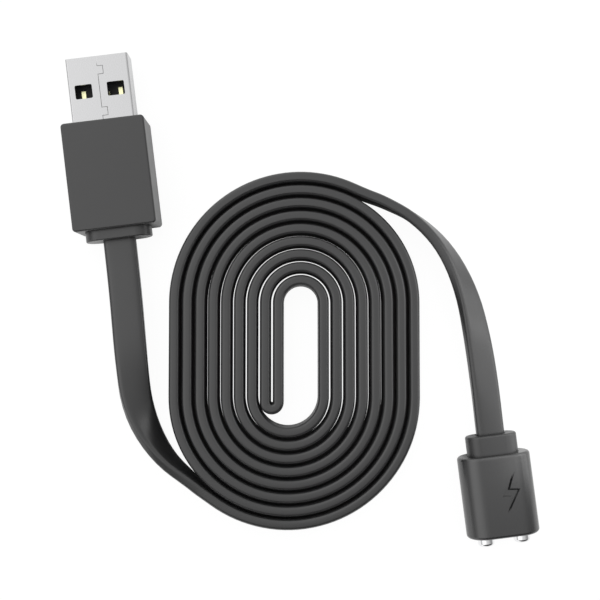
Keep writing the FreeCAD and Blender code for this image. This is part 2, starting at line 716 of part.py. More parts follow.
def inner_outline():
    """Inner edge of the coil, with the folded middle of the cord on its left."""
    upper, lower = coil_centres()
    half = size("cord_thickness") / 2
    pitch = size("coil_pitch")
    hole = coil_radius(1) - half
    lower_hole = coil_radius(2) - half
    fold = Vector(-coil_radius(1) - pitch / 2, lower.y - size("fold_drop"), 0)
    fold_radius = pitch / 2 + half
    fold_left = on_circle(fold, fold_radius, 270)
    fold_right = on_circle(fold, fold_radius, 90)
    side = math.degrees(math.acos((lower.y - fold.y) / lower_hole)) + 180
    return [
        arc_between(upper, hole, -90, 90),
        Part.LineSegment(on_circle(upper, hole, 90), on_circle(lower, lower_hole, 90)),
        arc_between(lower, lower_hole, 90, side),
        Part.LineSegment(on_circle(lower, lower_hole, side), fold_left),
        Part.Arc(fold_left, on_circle(fold, fold_radius, 180), fold_right),
        Part.LineSegment(fold_right, on_circle(upper, hole, -90)),
    ]


def make_cord_coil():
    body = doc.addObject("PartDesign::Body", "cord_coil")
    body.Label = "cord_coil"
    body.Placement = coil_frame()
    outline = new_sketch(body, "XY_Plane")
    for curve in outer_outline() + inner_outline():
        outline.addGeometry(curve, False)
    pad(body, outline, "sizes.cord_width")
    return body


# Cord: the two free leads, points of the route chosen by hand

PLUG_ROUTE = [
    Vector(-32.75, 5.0, 4.0),
    Vector(-33.2, -6.9, 3.85),
    Vector(-33.3, -17.1, 3.5),
    Vector(-29.8, -26.45, 3.1),
    Vector(-24.2, -32.55, 2.77),
]
HEAD_ROUTE = [
    Vector(33.85, -21.3, 3.8),
    Vector(33.7, -11.9, 3.75),
    Vector(32.9, -2.3, 3.55),
    Vector(29.95, 6.6, 3.25),
    Vector(24.85, 13.1, 2.95),
    Vector(18.8, 17.2, 2.74),
]
STATIONS = 26
TWIST_EASE = 1.15


def into_coil(degrees):
    """Direction in which a lead runs into the coil, at an angle from straight up."""
    angle = math.radians(degrees)
    return coil_frame().Rotation.multVec(Vector(-math.cos(angle), math.sin(angle), 0))


def plug_route():
    """Route from the collar to the coil."""
    start = Vector((size("hood_width") - size("span_across")) / 2,
                   size("span_along") / 2 - size("shell_reach") - size("hood_length") - size("collar_reach"),
                   size("hood_height") / 2)
    lower = coil_centres()[1]
    angle = 180 + size("plug_lead_angle")
    end = on_circle(lower, coil_radius(int(size("coil_strands"))), angle)
    end = coil_frame().multVec(end) + Vector(0, 0, size("cord_width") / 2)
    return [start] + PLUG_ROUTE + [end]


def head_route():
    """Route from the neck to the coil."""
    reach = size("neck_reach") + size("head_length") + size("stud_reach")
    start = Vector((size("span_across") - size("head_width")) / 2,
                   reach - size("span_along") / 2, size("head_height") / 2)
    end = on_circle(coil_centres()[0], coil_radius(int(size("coil_strands"))), size("head_lead_angle"))
    end = coil_frame().multVec(end) + Vector(0, 0, size("cord_width") / 2)
    return [start] + HEAD_ROUTE + [end]


def rounded_path(name, points):
    """Straight runs joined by tangent arcs, each as large as its two runs allow."""
    edges = []
    reached = points[0]
    for before, corner, after in zip(points, points[1:], points[2:]):
        arriving = (corner - before).normalize()
        leaving = (after - corner).normalize()
        turn = arriving.getAngle(leaving)
        cut = 0.45 * min((corner - before).Length, (after - corner).Length)
        radius = cut / math.tan(turn / 2)
        print("%s: turn %.1f degrees, radius %.1f mm" % (name, math.degrees(turn), radius))
        first = corner - arriving * cut
        last = corner + leaving * cut
        inward = (leaving - arriving).normalize()
        middle = corner + inward * (radius / math.cos(turn / 2) - radius)
        edges.append(Part.LineSegment(reached, first).toShape())
        edges.append(Part.Arc(first, middle, last).toShape())
        reached = last
    edges.append(Part.LineSegment(reached, points[-1]).toShape())
    return edges


def path_at(edges, distance):
    """Point and direction at a distance along the edges."""
    for edge in edges:
        if distance <= edge.Length or edge is edges[-1]:
            parameter = edge.getParameterByLength(min(distance, edge.Length))
            return edge.valueAt(parameter), edge.tangentAt(parameter)
        distance -= edge.Length


def on_edge_share(distance, flat, twist):
    """How far the cord has turned on edge: 0 is flat, 1 is on edge, eased at the coil."""
    share = min(max((distance - flat) / twist, 0.0), 1.0)
    return 1 - (1 - share) ** TWIST_EASE


def cord_section(point, wide, thin, width):
    """Rounded outline of the flat cord about a point, along two directions."""
    corner = size("cord_corner")
    across = width / 2
    deep = size("cord_thickness") / 2
    edges = []
    for number in range(4):
        angle = math.pi / 2 * number
        sign_wide = 1 if number in (0, 3) else -1
        sign_thin = 1 if number in (0, 1) else -1
        middle = point + wide * (sign_wide * (across - corner)) + thin * (sign_thin * (deep - corner))
        bend = [middle + wide * (corner * math.cos(angle + step)) + thin * (corner * math.sin(angle + step))
                for step in (0, math.pi / 4, math.pi / 2)]
        if edges:
            edges.append(Part.LineSegment(edges[-1].Vertexes[-1].Point, bend[0]).toShape())
        edges.append(Part.Arc(*bend).toShape())
    edges.append(Part.LineSegment(edges[-1].Vertexes[-1].Point, edges[0].Vertexes[0].Point).toShape())
    return Part.Wire(edges)


def lead_solid(name, points, ways, lean, end, tail):
    """Twisted flat cord along a route, with a flat tail back into its strain relief.

    ways are its directions at both ends, and lean is the side, 1 for left and -1 for
    right of the route, to which the coil's upper edge goes as the cord comes to lie flat.
    The cord has the end's own width there, and the coil's where it stands on edge.
    """
    flat = size(end + "_lead_flat")
    twist = size(end + "_lead_twist")
    end_width = size(end + "_lead_width")
    edges = rounded_path(name, points)
    length = sum(edge.Length for edge in edges)
    sections = []
    for station in range(STATIONS + 1):
        distance = length * station / STATIONS
        point, direction = path_at(edges, distance)
        if station in (0, STATIONS):
            direction = ways[0 if station == 0 else 1]
        level = Vector(0, 0, 1).cross(direction).normalize()
        upright = direction.cross(level)
        share = on_edge_share(distance, flat, twist)
        angle = math.pi / 2 * share
        wide = level * (lean * math.cos(angle)) + upright * math.sin(angle)
        width = end_width + (size("cord_width") - end_width) * share
        sections.append(cord_section(point, wide, direction.cross(wide), width))
    lead = Part.makeLoft(sections, True, True)
    rear = Part.Face(sections[0]).extrude(ways[0] * -tail)
    area = Part.Face(sections[0]).Area
    print("%s: length %.1f mm, volume %.1f, section times length %.1f"
          % (name, length, lead.Volume, area * length))
    return lead.fuse(rear)


def make_lead(end, points, ways, lean, tail):
    name = "cord_%s_lead" % end
    feature = doc.addObject("Part::Feature", name)
    feature.Label = name
    feature.Shape = lead_solid(name, points, ways, lean, end, tail)
    feature.Placement = FreeCAD.Placement()
    return feature


def make_cord_leads():
    plug_tail = size("shell_reach") + size("hood_length") + size("collar_reach")
    plug_tail -= size("shell_reach") + size("shell_seat") + size("mould_length")
    head_tail = size("neck_reach") + size("head_wall") + size("flange_length")
    plug_ways = (Vector(0, -1, 0), into_coil(180 + size("plug_lead_angle")))
    head_ways = (Vector(0, 1, 0), into_coil(size("head_lead_angle")))
    return [
        make_lead("plug", plug_route(), plug_ways, -1, plug_tail),
        make_lead("head", head_route(), head_ways, 1, head_tail),
    ]


# All sub-parts, checked and written

pieces = [make_plug_shell(), make_plug_tongue()]
pieces += make_plug_contacts()
pieces += [make_plug_inner_mould(), make_plug_hood(), make_plug_strain_relief()]
pieces += make_plug_wires()
pieces += [make_head_strain_relief(), make_head_body(), make_head_contact_carrier()]
pieces += make_head_studs()
pieces += make_head_tabs()
pieces += make_head_wires()
pieces += [make_cord_coil()]
pieces += make_cord_leads()
doc.recompute()

for item in doc.Objects:
    if "Invalid" in item.State or "Error" in item.State:
        raise RuntimeError("%s did not build: %s" % (item.Label, item.State))

os.makedirs("parts", exist_ok=True)
for piece in pieces:
    shape = piece.Shape
    if shape.isNull() or not shape.isValid() or len(shape.Solids) != 1:
        raise RuntimeError("%s is not one sound solid" % piece.Label)
    box = shape.optimalBoundingBox(False)
    print("%-22s volume %8.2f  x %.2f %.2f  y %.2f %.2f  z %.2f %.2f"
          % (piece.Label, shape.Volume, box.XMin, box.XMax, box.YMin, box.YMax, box.ZMin, box.ZMax))
    shape.exportStep("parts/%s.step" % piece.Label)
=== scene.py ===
import math

import bpy
import numpy as np
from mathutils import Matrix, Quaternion, Vector


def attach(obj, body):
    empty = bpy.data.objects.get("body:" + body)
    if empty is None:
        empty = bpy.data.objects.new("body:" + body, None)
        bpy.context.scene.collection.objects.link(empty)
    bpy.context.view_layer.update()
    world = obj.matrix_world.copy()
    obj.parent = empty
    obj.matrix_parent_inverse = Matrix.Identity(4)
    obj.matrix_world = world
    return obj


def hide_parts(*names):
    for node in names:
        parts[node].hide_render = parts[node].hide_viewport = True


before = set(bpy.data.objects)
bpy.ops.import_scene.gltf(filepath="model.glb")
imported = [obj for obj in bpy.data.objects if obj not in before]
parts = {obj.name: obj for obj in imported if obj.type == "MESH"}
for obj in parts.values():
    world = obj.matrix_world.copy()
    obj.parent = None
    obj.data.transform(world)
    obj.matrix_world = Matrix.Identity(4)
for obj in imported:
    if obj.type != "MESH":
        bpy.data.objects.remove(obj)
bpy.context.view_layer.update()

MM = 0.001

# Cord, in metres

CORD_WIDTH = 5.3 * MM
CORD_THICKNESS = 2.12 * MM
CORNER_THICK = 0.55 * MM         # the oval corners' reach along the thickness
CORNER_WIDE = 0.8 * MM           # the oval corners' reach along the width
EDGE_CROWN = 0.08 * MM           # how far the narrow edges bulge
FACE_CROWN = 0.03 * MM           # how far the wide faces bulge
CORD_LEVEL = CORD_WIDTH / 2      # the coiled cord stands on its edge
CORNER_POINTS = 7                # points of the section on each corner, both ends counted
EDGE_POINTS = 8                  # on each narrow edge
FACE_POINTS = 6                  # on each wide face
SPLINE_ORDER = 3
SPLINE_STEPS = 5                 # points read from each span of the spline

COIL_PITCH = 2.5 * MM
COIL_STRANDS = 9
COIL_FIRST_RADIUS = 4.35 * MM
COIL_STRAIGHT = 18.05 * MM
COIL_TURNED = math.radians(7.1)
COIL_CENTRE = np.array([0.58, -0.62]) * MM
FOLD_DROP = 1.1 * MM
PLUG_LEAD_ANGLE = 35.5           # degrees past the bottom, where the plug's lead leaves
HEAD_LEAD_ANGLE = 24             # degrees past the top, where the head's lead leaves
TURN_STEP = 15                   # degrees between the points of a turn

PLUG_LEAD_WIDTH = 6.2 * MM
PLUG_LEAD_FLAT = 17 * MM
PLUG_LEAD_TWIST = 39 * MM
HEAD_LEAD_FLAT = 1 * MM
HEAD_LEAD_TWIST = 58 * MM

# Points of the two leads, from each end's strain relief towards the coil

PLUG_ROUTE = [(-32.665, 15.835, 4.0), (-32.75, 5.0, 4.0), (-33.2, -6.9, 3.85), (-33.3, -17.1, 3.5),
              (-29.8, -26.45, 3.1), (-24.2, -32.55, 2.77)]
HEAD_ROUTE = [(33.675, -30.185, 3.8), (33.85, -21.3, 3.8), (33.7, -11.9, 3.75), (32.9, -2.3, 3.55),
              (29.95, 6.6, 3.25), (24.85, 13.1, 2.95), (18.8, 17.2, 2.74)]
PLUG_TAIL = 6.75 * MM            # cord inside the plug's strain relief
HEAD_TAIL = 6.55 * MM            # cord inside the head's strain relief

# Camera at the photograph's place

PHOTO_SIDE = 600                 # pixels
PLUMB_PIXEL = (294, 327)         # pixel straight below the lens
LENS = 50                        # mm
SENSOR = 36                      # mm
NEAR_CLIP = 5 * MM
CAMERA_PLACE = (-1.31 * MM, -5.085 * MM, 165 * MM)
PICTURE_TURN = Quaternion((0, 0, 1), -COIL_TURNED)


def make_camera():
    """Camera high above the coil, tilted until the plumb line meets its own pixel."""
    focal = PHOTO_SIDE * LENS / SENSOR
    plumb = Vector((PLUMB_PIXEL[0] - PHOTO_SIDE / 2, PHOTO_SIDE / 2 - PLUMB_PIXEL[1], -focal))
    tilt = plumb.rotation_difference(Vector((0, 0, -1)))
    data = bpy.data.cameras.new("camera")
    data.lens = LENS
    data.sensor_width = SENSOR
    data.clip_start = NEAR_CLIP
    camera = bpy.data.objects.new("camera", data)
    bpy.context.scene.collection.objects.link(camera)
    camera.location = CAMERA_PLACE
    camera.rotation_mode = "QUATERNION"
    camera.rotation_quaternion = PICTURE_TURN @ tilt
    bpy.context.scene.camera = camera


# Route of the cord

def coil_radius(strand):
    return COIL_FIRST_RADIUS + COIL_PITCH * (strand - 1)


def turn(centre, radius, start, end):
    """Points of one turn of the coil, by degrees clockwise from straight up.

    They are the corners of the polygon round the arc, and at each end the first corner's mirror
    image in the arc's end, which lies on the straight run.
    """
    steps = round(abs(end - start) / TURN_STEP)
    half = math.radians(end - start) / steps / 2
    corners = math.radians(start) + half * (2 * np.arange(-1, steps + 1) + 1)
    reach = np.full(steps + 2, radius / math.cos(half))
    points = np.stack([reach * np.sin(corners), reach * np.cos(corners)], axis=1)
    for end_corner, neighbour, angle in ((0, 1, start), (-1, -2, end)):
        way = np.array([math.sin(math.radians(angle)), math.cos(math.radians(angle))])
        points[end_corner] = 2 * radius * way - points[neighbour]
    return points + np.array(centre)


def coil_route():
    """Points of the coil: half turns about two centres, inward to the fold and out again."""
    upper = (0, 0)
    lower = (-COIL_PITCH, -COIL_STRAIGHT)
    fold = (-(coil_radius(1) + coil_radius(2)) / 2, -COIL_STRAIGHT - FOLD_DROP)
    turns = []
    for strand in range(COIL_STRANDS, 1, -1):
        if strand % 2:
            first = 180 + PLUG_LEAD_ANGLE if strand == COIL_STRANDS else 270
            turns.append(turn(lower, coil_radius(strand), first, 90))
        else:
            turns.append(turn(upper, coil_radius(strand), 90, -90))
    turns.append(turn(fold, COIL_PITCH / 2, 270, 90))
    for strand in range(1, COIL_STRANDS + 1):
        if strand % 2:
            last = HEAD_LEAD_ANGLE if strand == COIL_STRANDS else 90
            turns.append(turn(upper, coil_radius(strand), -90, last))
        else:
            turns.append(turn(lower, coil_radius(strand), 90, 270))
    flat = np.concatenate(turns)
    cos, sin = math.cos(COIL_TURNED), math.sin(COIL_TURNED)
    turned = flat @ np.array([[cos, -sin], [sin, cos]]) + COIL_CENTRE
    return np.column_stack([turned, np.full(len(turned), CORD_LEVEL)])


def cord_points():
    """Control points of the whole cord, from inside the plug to inside the head."""
    plug = np.array(PLUG_ROUTE) * MM
    head = np.array(HEAD_ROUTE) * MM
    plug_end = plug[:1] + [0, PLUG_TAIL, 0]
    head_end = head[:1] - [0, HEAD_TAIL, 0]
    return np.concatenate([plug_end, plug, coil_route(), head[::-1], head_end])


def smooth_line(points):
    """Points read from the cord's spline."""
    data = bpy.data.curves.new("cord_line", "CURVE")
    data.dimensions = "3D"
    spline = data.splines.new("NURBS")
    spline.points.add(len(points) - 1)
    spline.points.foreach_set("co", np.column_stack([points, np.ones(len(points))]).ravel())
    spline.order_u = SPLINE_ORDER
    spline.use_endpoint_u = True
    spline.resolution_u = SPLINE_STEPS
    line = bpy.data.objects.new("cord_line", data)
    mesh = bpy.data.meshes.new_from_object(line)
    read = np.empty(3 * len(mesh.vertices))
    mesh.vertices.foreach_get("co", read)
    bpy.data.objects.remove(line)
    bpy.data.curves.remove(data)
    bpy.data.meshes.remove(mesh)
    return read.reshape(-1, 3)


# Cord

def on_edge_share(share):
    """How far the cord has turned on edge: 0 is flat, 1 is on edge, eased at both ends."""
    within = np.clip(share, 0, 1)
    return within ** 2 * (3 - 2 * within)


def cord_profile():
    """Section of the flat cord: a rectangle with oval corners whose four sides bulge a little.

    Each corner is a quarter ellipse. The narrow edges and the wide faces are moved outwards
    by their crown times one minus the square of the share of the way to the corner.
    """
    half_thick = CORD_THICKNESS / 2
    half_wide = CORD_WIDTH / 2
    quarter = np.linspace(0, math.pi / 2, CORNER_POINTS)
    edge = np.linspace(1, -1, EDGE_POINTS)[1:-1]
    face = np.linspace(1, -1, FACE_POINTS)[1:-1]
    flat_thick = half_thick - FACE_CROWN - CORNER_THICK
    flat_wide = half_wide - EDGE_CROWN - CORNER_WIDE
    outline = []
    for side_thick, side_wide, start in ((1, 1, 0), (-1, 1, 1), (-1, -1, 2), (1, -1, 3)):
        angle = quarter + start * math.pi / 2
        outline.append(np.stack([side_thick * flat_thick + CORNER_THICK * np.cos(angle),
                                 side_wide * flat_wide + CORNER_WIDE * np.sin(angle)], axis=1))
        if start % 2 == 0:
            outline.append(np.stack([side_wide * edge * flat_thick,
                                     np.full(len(edge), side_wide * (flat_wide + CORNER_WIDE))], axis=1))
        else:
            outline.append(np.stack([np.full(len(face), side_thick * (flat_thick + CORNER_THICK)),
                                     -side_thick * face * flat_wide], axis=1))
    outline = np.concatenate(outline)
    thick, wide = outline.T
    bulge_wide = EDGE_CROWN * (1 - (thick / half_thick) ** 2) * np.sign(wide) * (np.abs(wide) > flat_wide)
    bulge_thick = FACE_CROWN * (1 - (wide / half_wide) ** 2) * np.sign(thick)
    return np.stack([thick + bulge_thick, wide + bulge_wide], axis=1)


def cord_axes(line):
    """Length, wide axis and narrow axis of the cord at each point.

    Both leads turn from lying flat to standing on edge, and the wide axis is longer than one
    where the plug's lead is wider than the coiled cord.
    """
    steps = np.linalg.norm(np.diff(line, axis=0), axis=1)
    reached = np.concatenate([[0], np.cumsum(steps)])
    ahead = np.gradient(line, axis=0)
    ahead /= np.linalg.norm(ahead, axis=1, keepdims=True)
    sideways = np.cross([0, 0, 1], ahead)
    sideways /= np.linalg.norm(sideways, axis=1, keepdims=True)
    upwards = np.cross(ahead, sideways)
    from_plug = on_edge_share((reached - PLUG_TAIL - PLUG_LEAD_FLAT) / PLUG_LEAD_TWIST)
    from_head = on_edge_share((reached[-1] - reached - HEAD_TAIL - HEAD_LEAD_FLAT) / HEAD_LEAD_TWIST)
    lean = (1 - from_plug * from_head)[:, None] * math.pi / 2
    wide = np.cos(lean) * upwards - np.sin(lean) * sideways
    narrow = np.cos(lean) * sideways + np.sin(lean) * upwards
    widened = 1 + (PLUG_LEAD_WIDTH / CORD_WIDTH - 1) * (1 - from_plug)
    return reached, wide * widened[:, None], narrow


def swept_mesh(name, line, profile, narrow, wide, reached):
    """Profile carried along a line: point plus narrow and wide axis times the profile's two numbers."""
    rings, around = len(line), len(profile)
    grid = (line[:, None] + narrow[:, None] * profile[None, :, :1]
            + wide[:, None] * profile[None, :, 1:])
    ring, place = np.meshgrid(np.arange(rings - 1), np.arange(around), indexing="ij")
    beside = (place + 1) % around
    faces = np.stack([ring * around + place, ring * around + beside,
                      (ring + 1) * around + beside, (ring + 1) * around + place], axis=-1)
    first_cap = list(range(around))[::-1]
    last_cap = list(range((rings - 1) * around, rings * around))
    mesh = bpy.data.meshes.new(name)
    mesh.from_pydata(grid.reshape(-1, 3).tolist(), [], faces.reshape(-1, 4).tolist() + [first_cap, last_cap])
    mesh.polygons.foreach_set("use_smooth", np.ones(len(mesh.polygons), dtype=bool))
    gaps = np.linalg.norm(np.diff(profile, axis=0, append=profile[:1]), axis=1)
    girth = np.concatenate([[0], np.cumsum(gaps)])
    along = np.stack([reached[ring], reached[ring], reached[ring + 1], reached[ring + 1]], axis=-1)
    across = np.stack([girth[place], girth[place + 1], girth[place + 1], girth[place]], axis=-1)
    uv = np.zeros((len(mesh.loops), 2))
    uv[:along.size] = np.stack([along.ravel(), across.ravel()], axis=1)
    mesh.uv_layers.new(name="cord_uv").data.foreach_set("uv", uv.ravel())
    return mesh


def make_cord():
    line = smooth_line(cord_points())
    reached, wide, narrow = cord_axes(line)
    mesh = swept_mesh("flat_cord", line, cord_profile(), narrow, wide, reached)
    cord = bpy.data.objects.new("flat_cord", mesh)
    bpy.context.scene.collection.objects.link(cord)
    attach(cord, "root")
    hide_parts("cord_coil", "cord_plug_lead", "cord_head_lead")
    return cord


# Shared effects

GRAIN_SHARE = 0.4                # of the moulded tone, and the slow mottle is the rest


def socket(group, name, way, kind="NodeSocketFloat"):
    return group.interface.new_socket(name=name, in_out=way, socket_type=kind)


def new_group(name, inputs, outputs):
    """Node group with a vector, some numbers in and some numbers out."""
    group = bpy.data.node_groups.new(name, "ShaderNodeTree")
    socket(group, "Vector", "INPUT", "NodeSocketVector")
    for label in inputs:
        socket(group, label, "INPUT")
    for label in outputs:
        socket(group, label, "OUTPUT")
    return group, group.nodes.new("NodeGroupInput"), group.nodes.new("NodeGroupOutput")


def add(tree, kind, **values):
    """New node with some of its inputs set."""
    made = tree.nodes.new("ShaderNode" + kind)
    for label, value in values.items():
        made.inputs[label.replace("_", " ")].default_value = value
    return made


def maths(tree, operation, first, second):
    """Node that works out one number from two, each a socket or a value."""
    made = tree.nodes.new("ShaderNodeMath")
    made.operation = operation
    for place, value in enumerate((first, second)):
        if isinstance(value, (int, float)):
            made.inputs[place].default_value = value
        else:
            tree.links.new(value, made.inputs[place])
    return made.outputs[0]


def moulded_grain():
    """Fine spark-etched grain with a slow mottle: height from the grain, tone from both."""
    group, given, result = new_group("moulded_grain", ["Grain", "Mottle"], ["Tone", "Height"])
    links = group.links
    grain = add(group, "TexNoise", Detail=3.0, Roughness=0.6)
    mottle = add(group, "TexNoise", Detail=2.0, Roughness=0.5)
    for noise, label in ((grain, "Grain"), (mottle, "Mottle")):
        links.new(given.outputs["Vector"], noise.inputs["Vector"])
        links.new(given.outputs[label], noise.inputs["Scale"])
    share = maths(group, "MULTIPLY", grain.outputs[0], GRAIN_SHARE)
    slow = maths(group, "MULTIPLY", mottle.outputs[0], 1 - GRAIN_SHARE)
    links.new(maths(group, "ADD", share, slow), result.inputs["Tone"])
    links.new(grain.outputs[0], result.inputs["Height"])
    return group


def drawn_lines():
    """Fine lines along the second axis: noise on a vector that is squeezed along it."""
    group, given, result = new_group("drawn_lines", ["Lines", "Stretch"], ["Tone", "Height"])
    links = group.links
    apart = add(group, "SeparateXYZ")
    together = add(group, "CombineXYZ")
    links.new(given.outputs["Vector"], apart.inputs[0])
    links.new(apart.outputs[0], together.inputs[0])
    links.new(maths(group, "MULTIPLY", apart.outputs[1], given.outputs["Stretch"]), together.inputs[1])
    links.new(apart.outputs[2], together.inputs[2])
    noise = add(group, "TexNoise", Detail=4.0, Roughness=0.65)
    links.new(together.outputs[0], noise.inputs["Vector"])
    links.new(given.outputs["Lines"], noise.inputs["Scale"])
    links.new(noise.outputs[0], result.inputs["Tone"])
    links.new(noise.outputs[0], result.inputs["Height"])
    return group


GRAIN = moulded_grain()
LINES = drawn_lines()


def place_group(tree, group, vector, **values):
    made = tree.nodes.new("ShaderNodeGroup")
    made.node_tree = group
    tree.links.new(vector, made.inputs["Vector"])
    for label, value in values.items():
        made.inputs[label].default_value = value
    return made


# Finishes, with their patterns' scales per metre

BLACK = (0.02, 0.02, 0.0205)
PLASTIC_SPREAD = 0.12            # share by which a plastic's colour goes up and down
PLASTIC_GRAIN = {"Grain": 5200.0, "Mottle": 260.0}
GRAIN_STRENGTH = 0.12
GRAIN_DEPTH = 0.02 * MM
METAL_LINES = {"Lines": 6000.0, "Stretch": 0.03}
LINE_DEPTH = 0.005 * MM
JACKET_GRAIN = {"Grain": 6500.0, "Mottle": 300.0}
JACKET_LINES = {"Lines": 2600.0, "Stretch": 0.02}
JACKET_LINES_SHARE = 0.4         # of the jacket's tone, and its grain is the rest
JACKET_ROUGHNESS = (0.28, 0.36)
JACKET_SPECULAR = 0.8
TONE_LOW, TONE_HIGH = 0.3, 0.7   # most of a noise lies between them
MIX_DARK, MIX_LIGHT, MIX_COLOUR = 6, 7, 2  # places of the colours among a mix's sockets

# Plastics: colour, roughness from and to, specular level, pieces

PLASTICS = {
    "tongue_plastic": ((0.012, 0.012, 0.012), 0.45, 0.6, 0.3, ["plug_tongue"]),
    "mould_plastic": ((0.6, 0.58, 0.52), 0.5, 0.65, 0.4, ["plug_inner_mould"]),
    "hood_plastic": (BLACK, 0.36, 0.42, 0.8, ["plug_hood"]),
    "relief_rubber": (BLACK, 0.32, 0.38, 0.8, ["plug_strain_relief", "head_strain_relief"]),
    "head_plastic": (BLACK, 0.22, 0.27, 1.0, ["head_body"]),
    "carrier_plastic": ((0.03, 0.03, 0.03), 0.45, 0.55, 0.4, ["head_contact_carrier"]),
    "wire_red": ((0.5, 0.02, 0.02), 0.4, 0.5, 0.4, ["plug_wire_red", "head_wire_red"]),
    "wire_black": ((0.015, 0.015, 0.015), 0.4, 0.5, 0.4, ["plug_wire_black", "head_wire_black"]),
}

# Metals: colour and its spread, roughness from and to, strength of the lines, pieces

CONTACTS = ["plug_contact_%d" % number for number in range(1, 5)]
METALS = {
    "shell_steel": ((0.54, 0.54, 0.545), 0.01, 0.26, 0.28, 0.004, ["plug_shell"]),
    "contact_gilt": ((1.0, 0.97, 0.6), 0.04, 0.25, 0.4, 0.05, CONTACTS),
    "stud_nickel": ((0.86, 0.86, 0.87), 0.04, 0.06, 0.12, 0.03, ["head_stud_left", "head_stud_right"]),
    "tab_tin": ((0.66, 0.66, 0.64), 0.04, 0.35, 0.5, 0.06, ["head_tab_left", "head_tab_right"]),
}


def new_material(name):
    made = bpy.data.materials.new(name)
    made.use_nodes = True
    tree = made.node_tree
    return made, tree, tree.nodes["Principled BSDF"]


def tinted(tree, tone, colour, spread, target):
    """Colour that goes from darker to lighter by the spread, as the tone goes up."""
    mix = tree.nodes.new("ShaderNodeMix")
    mix.data_type = "RGBA"
    mix.inputs[MIX_DARK].default_value = [*(value * (1 - spread) for value in colour), 1]
    mix.inputs[MIX_LIGHT].default_value = [*(min(1, value * (1 + spread)) for value in colour), 1]
    tree.links.new(tone, mix.inputs[0])
    tree.links.new(mix.outputs[MIX_COLOUR], target)


def ranged(tree, tone, low, high, target):
    """Number between two values, by the tone."""
    step = add(tree, "MapRange", From_Min=TONE_LOW, From_Max=TONE_HIGH, To_Min=low, To_Max=high)
    tree.links.new(tone, step.inputs["Value"])
    tree.links.new(step.outputs[0], target)


def bumped(tree, height, strength, depth, target):
    bump = add(tree, "Bump", Strength=strength, Distance=depth)
    tree.links.new(height, bump.inputs["Height"])
    tree.links.new(bump.outputs[0], target)


def eased(tree, value, start, end, low, high):
    """Number that goes smoothly from low to high as the value goes from start to end."""
    step = add(tree, "MapRange", From_Min=start, From_Max=end, To_Min=low, To_Max=high)
    step.interpolation_type = "SMOOTHSTEP"
    tree.links.new(value, step.inputs["Value"])
    return step.outputs[0]


def object_place(tree):
    return tree.nodes.new("ShaderNodeTexCoord").outputs["Object"]


def satin_plastic(name, colour, low, high, specular):
    """Moulded plastic with a fine etched grain, whose roughness goes from low to high."""
    made, tree, shader = new_material(name)
    grain = place_group(tree, GRAIN, object_place(tree), **PLASTIC_GRAIN)
    tinted(tree, grain.outputs["Tone"], colour, PLASTIC_SPREAD, shader.inputs["Base Color"])
    ranged(tree, grain.outputs["Tone"], low, high, shader.inputs["Roughness"])
    bumped(tree, grain.outputs["Height"], GRAIN_STRENGTH, GRAIN_DEPTH, shader.inputs["Normal"])
    shader.inputs["Specular IOR Level"].default_value = specular
    return made


def drawn_metal(name, colour, spread, low, high, strength):
    """Plated sheet or turned metal with faint lines along its length, as deep as the strength."""
    made, tree, shader = new_material(name)
    lines = place_group(tree, LINES, object_place(tree), **METAL_LINES)
    tinted(tree, lines.outputs["Tone"], colour, spread, shader.inputs["Base Color"])
    ranged(tree, lines.outputs["Tone"], low, high, shader.inputs["Roughness"])
    bumped(tree, lines.outputs["Height"], strength, LINE_DEPTH, shader.inputs["Normal"])
    shader.inputs["Metallic"].default_value = 1
    return made


def cord_jacket():
    """Soft jacket with a fine grain and faint lines along the cord, from its own map."""
    made, tree, shader = new_material("cord_jacket")
    cord_map = tree.nodes.new("ShaderNodeUVMap")
    cord_map.uv_map = "cord_uv"
    turned = add(tree, "CombineXYZ")
    apart = add(tree, "SeparateXYZ")
    tree.links.new(cord_map.outputs[0], apart.inputs[0])
    tree.links.new(apart.outputs[1], turned.inputs[0])
    tree.links.new(apart.outputs[0], turned.inputs[1])
    lines = place_group(tree, LINES, turned.outputs[0], **JACKET_LINES)
    grain = place_group(tree, GRAIN, object_place(tree), **JACKET_GRAIN)
    tone = maths(tree, "ADD", maths(tree, "MULTIPLY", lines.outputs["Tone"], JACKET_LINES_SHARE),
                 maths(tree, "MULTIPLY", grain.outputs["Tone"], 1 - JACKET_LINES_SHARE))
    tinted(tree, tone, BLACK, PLASTIC_SPREAD, shader.inputs["Base Color"])
    ranged(tree, tone, *JACKET_ROUGHNESS, shader.inputs["Roughness"])
    bumped(tree, grain.outputs["Height"], GRAIN_STRENGTH, GRAIN_DEPTH, shader.inputs["Normal"])
    shader.inputs["Specular IOR Level"].default_value = JACKET_SPECULAR
    return made


def dress(material, names):
    for name in names:
        for slot in parts[name].material_slots:
            slot.material = material


def dress_parts():
    for name, (*look, pieces) in PLASTICS.items():
        dress(satin_plastic(name, *look), pieces)
    for name, (*look, pieces) in METALS.items():
        dress(drawn_metal(name, *look), pieces)


# Floor, lights and world

FLOOR_SIDE = 1.2
FLOOR_LEVEL = -0.02 * MM
FLOOR_PAINT = (0.9, 0.9, 0.9, 1)
FLOOR_SEEN = 1.05                # how bright the camera sees it
FLOOR_SEEN_SHARE = 0.9           # the rest of what the camera sees keeps the shadow
PAINTED_SHADE_REACH = 12 * MM            # how far nearby things paint shade on the floor as mirrors see it
PAINTED_SHADE_SAMPLES = 8

# Ways in the picture's axes: to its right, to its top, up from the floor

RIGHTWARDS = (1, 0, 0)
BACKWARDS = (-0.2, 0.98, 0)      # and a little to the left
UPWARDS = (0, 0, 1)
